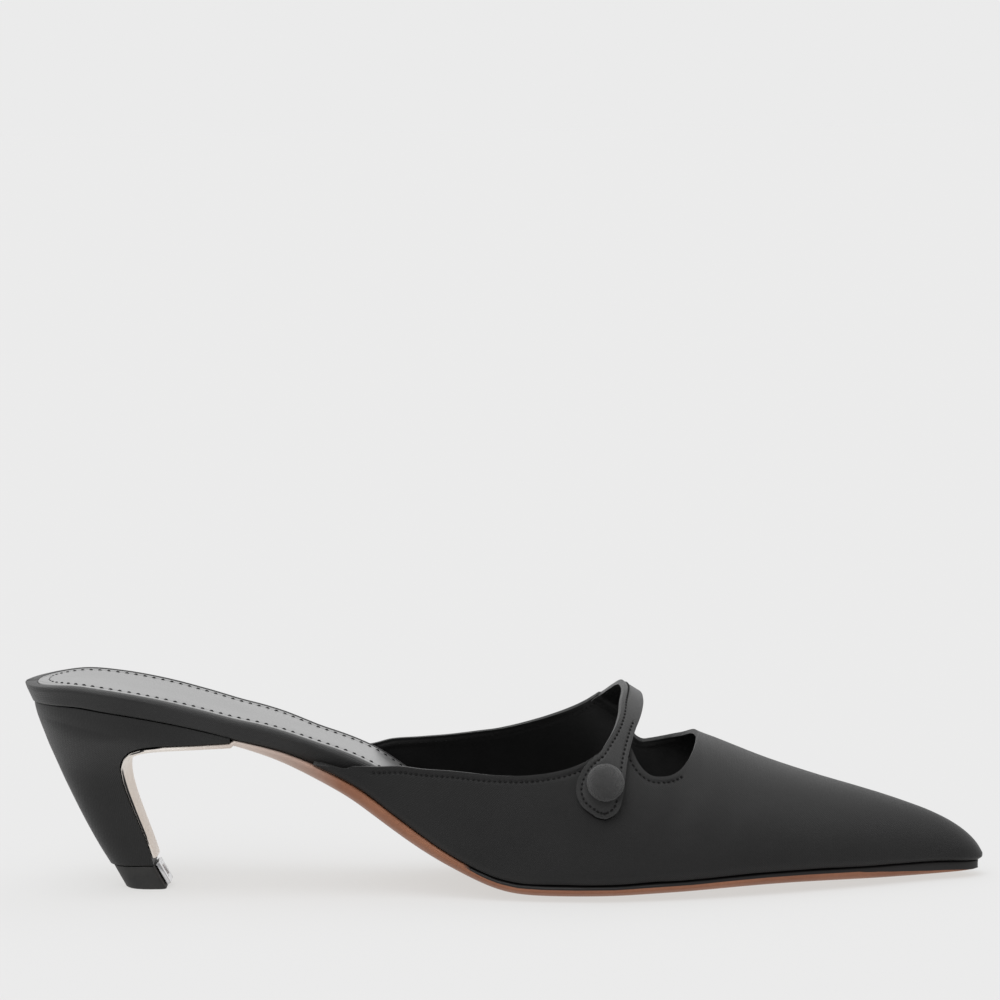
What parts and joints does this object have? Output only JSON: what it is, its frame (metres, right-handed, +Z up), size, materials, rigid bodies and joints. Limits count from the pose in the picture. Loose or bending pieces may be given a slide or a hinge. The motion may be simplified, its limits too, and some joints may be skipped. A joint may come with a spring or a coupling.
{
  "type": "kitten heel shoe",
  "caption": "Pointed open-backed mule on a low comma heel, with a cut-out instep and one strap that ends in a covered button.",
  "frame": {"origin": "bottom centre of the shoe's bounding box, on the floor plane that the forefoot and the heel tip stand on", "axes": "+X from the heel to the toe, +Y towards the inner side of the right foot, +Z up from the floor"},
  "size_m": [0.2678, 0.0807, 0.0596],
  "materials": {
    "leather_sole": "smooth tan sole leather, painted black edge",
    "heel_satin": "black satin wrapped over a moulded heel",
    "black_rubber": "matt top piece",
    "polished_steel": "small polished plate",
    "footbed_satin": "black satin wrapped insole board",
    "silver_leather": "silver grey glossy sock lining",
    "black_satin": "black satin upper with black lining",
    "strap_satin": "folded satin strap, stitched both edges",
    "button_satin": "satin covered button"
  },
  "bodies": {
    "root": {"outsole": "leather_sole", "heel": "heel_satin", "heel_tip": "black_rubber", "heel_tip_plate": "polished_steel", "footbed": "footbed_satin", "insole": "silver_leather", "upper": "black_satin", "strap": "strap_satin", "button": "button_satin"}
  },
  "joints": []
}
